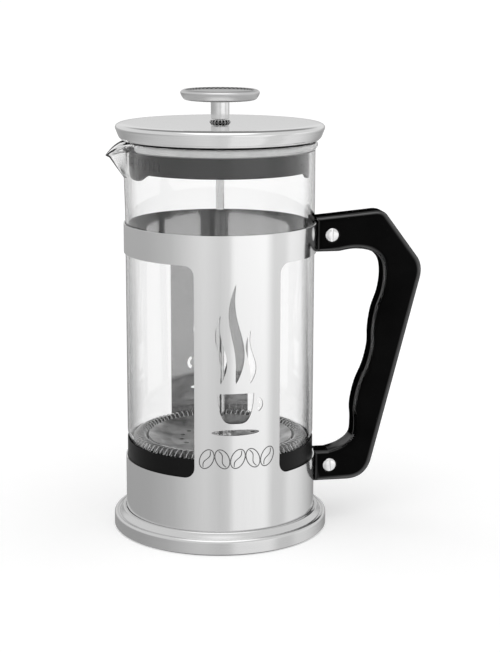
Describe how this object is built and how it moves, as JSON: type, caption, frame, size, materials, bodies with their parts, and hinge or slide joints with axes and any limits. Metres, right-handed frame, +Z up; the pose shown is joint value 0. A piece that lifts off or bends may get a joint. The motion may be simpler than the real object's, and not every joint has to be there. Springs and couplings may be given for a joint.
{
  "type": "french press",
  "caption": "French press: glass beaker in a rolled steel frame with windows and a side handle, and a sprung filter plunger under a flat steel lid.",
  "frame": {"origin": "centre of the base's underside, on the beaker's axis", "axes": "+Z up along the beaker's axis, +X towards the handle, -X towards the pouring lip, -Y and +Y towards the frame's two panels"},
  "size_m": [0.1581, 0.1092, 0.2223],
  "materials": {
    "satin_steel": "satin rolled stainless sheet with soft reflections",
    "base_steel": "fine circular brushing",
    "lid_steel": "satin, almost a mirror on the flat top",
    "knob_steel": "satin with a fine knurled ring near the edge of the top",
    "bright_steel": "polished",
    "spring_steel": "bright drawn wire",
    "plate_steel": "polished pressed sheet",
    "mesh_steel": "woven wire cloth",
    "beaker_glass": "clear borosilicate glass",
    "handle_gloss": "high-gloss black moulded plastic",
    "seat_plastic": "satin black plastic",
    "liner_plastic": "dark grey plastic, half gloss",
    "foot_rubber": "matt black rubber sheet"
  },
  "bodies": {
    "frame": {"foot_pad": "foot_rubber", "base_plate": "base_steel", "base_screw_1": "bright_steel", "base_screw_2": "bright_steel", "base_screw_3": "bright_steel", "beaker_seat": "seat_plastic", "frame_shell": "satin_steel", "handle": "handle_gloss", "handle_screw_upper": "bright_steel", "handle_screw_lower": "bright_steel", "handle_nut_upper": "bright_steel", "handle_nut_lower": "bright_steel"},
    "beaker": {"glass_beaker": "beaker_glass"},
    "lid_hub": {"lid_bushing": "bright_steel", "lid_bushing_nut": "bright_steel"},
    "lid": {"lid_shell": "lid_steel", "lid_liner": "liner_plastic"},
    "plunger": {"knob_cap": "knob_steel", "knob_stem": "bright_steel", "plunger_rod": "bright_steel", "rod_collar": "bright_steel", "spiral_plate": "plate_steel", "coil_spring": "spring_steel", "mesh_screen": "mesh_steel", "cross_plate": "plate_steel", "plunger_nut": "bright_steel"}
  },
  "joints": [
    {"name": "beaker_lift", "type": "slide", "parent": "frame", "child": "beaker", "axis": [0, 0, 1], "range_m": [0, 0.125]},
    {"name": "lid_lift", "type": "slide", "parent": "beaker", "child": "lid_hub", "axis": [0, 0, 1], "range_m": [0, 0.165]},
    {"name": "lid_turn", "type": "hinge", "parent": "lid_hub", "child": "lid", "pos_m": [0, 0, 0.2], "axis": [0, 0, 1], "continuous": true},
    {"name": "plunger_slide", "type": "slide", "parent": "lid_hub", "child": "plunger", "axis": [0, 0, 1], "range_m": [0, 0.128]}
  ]
}
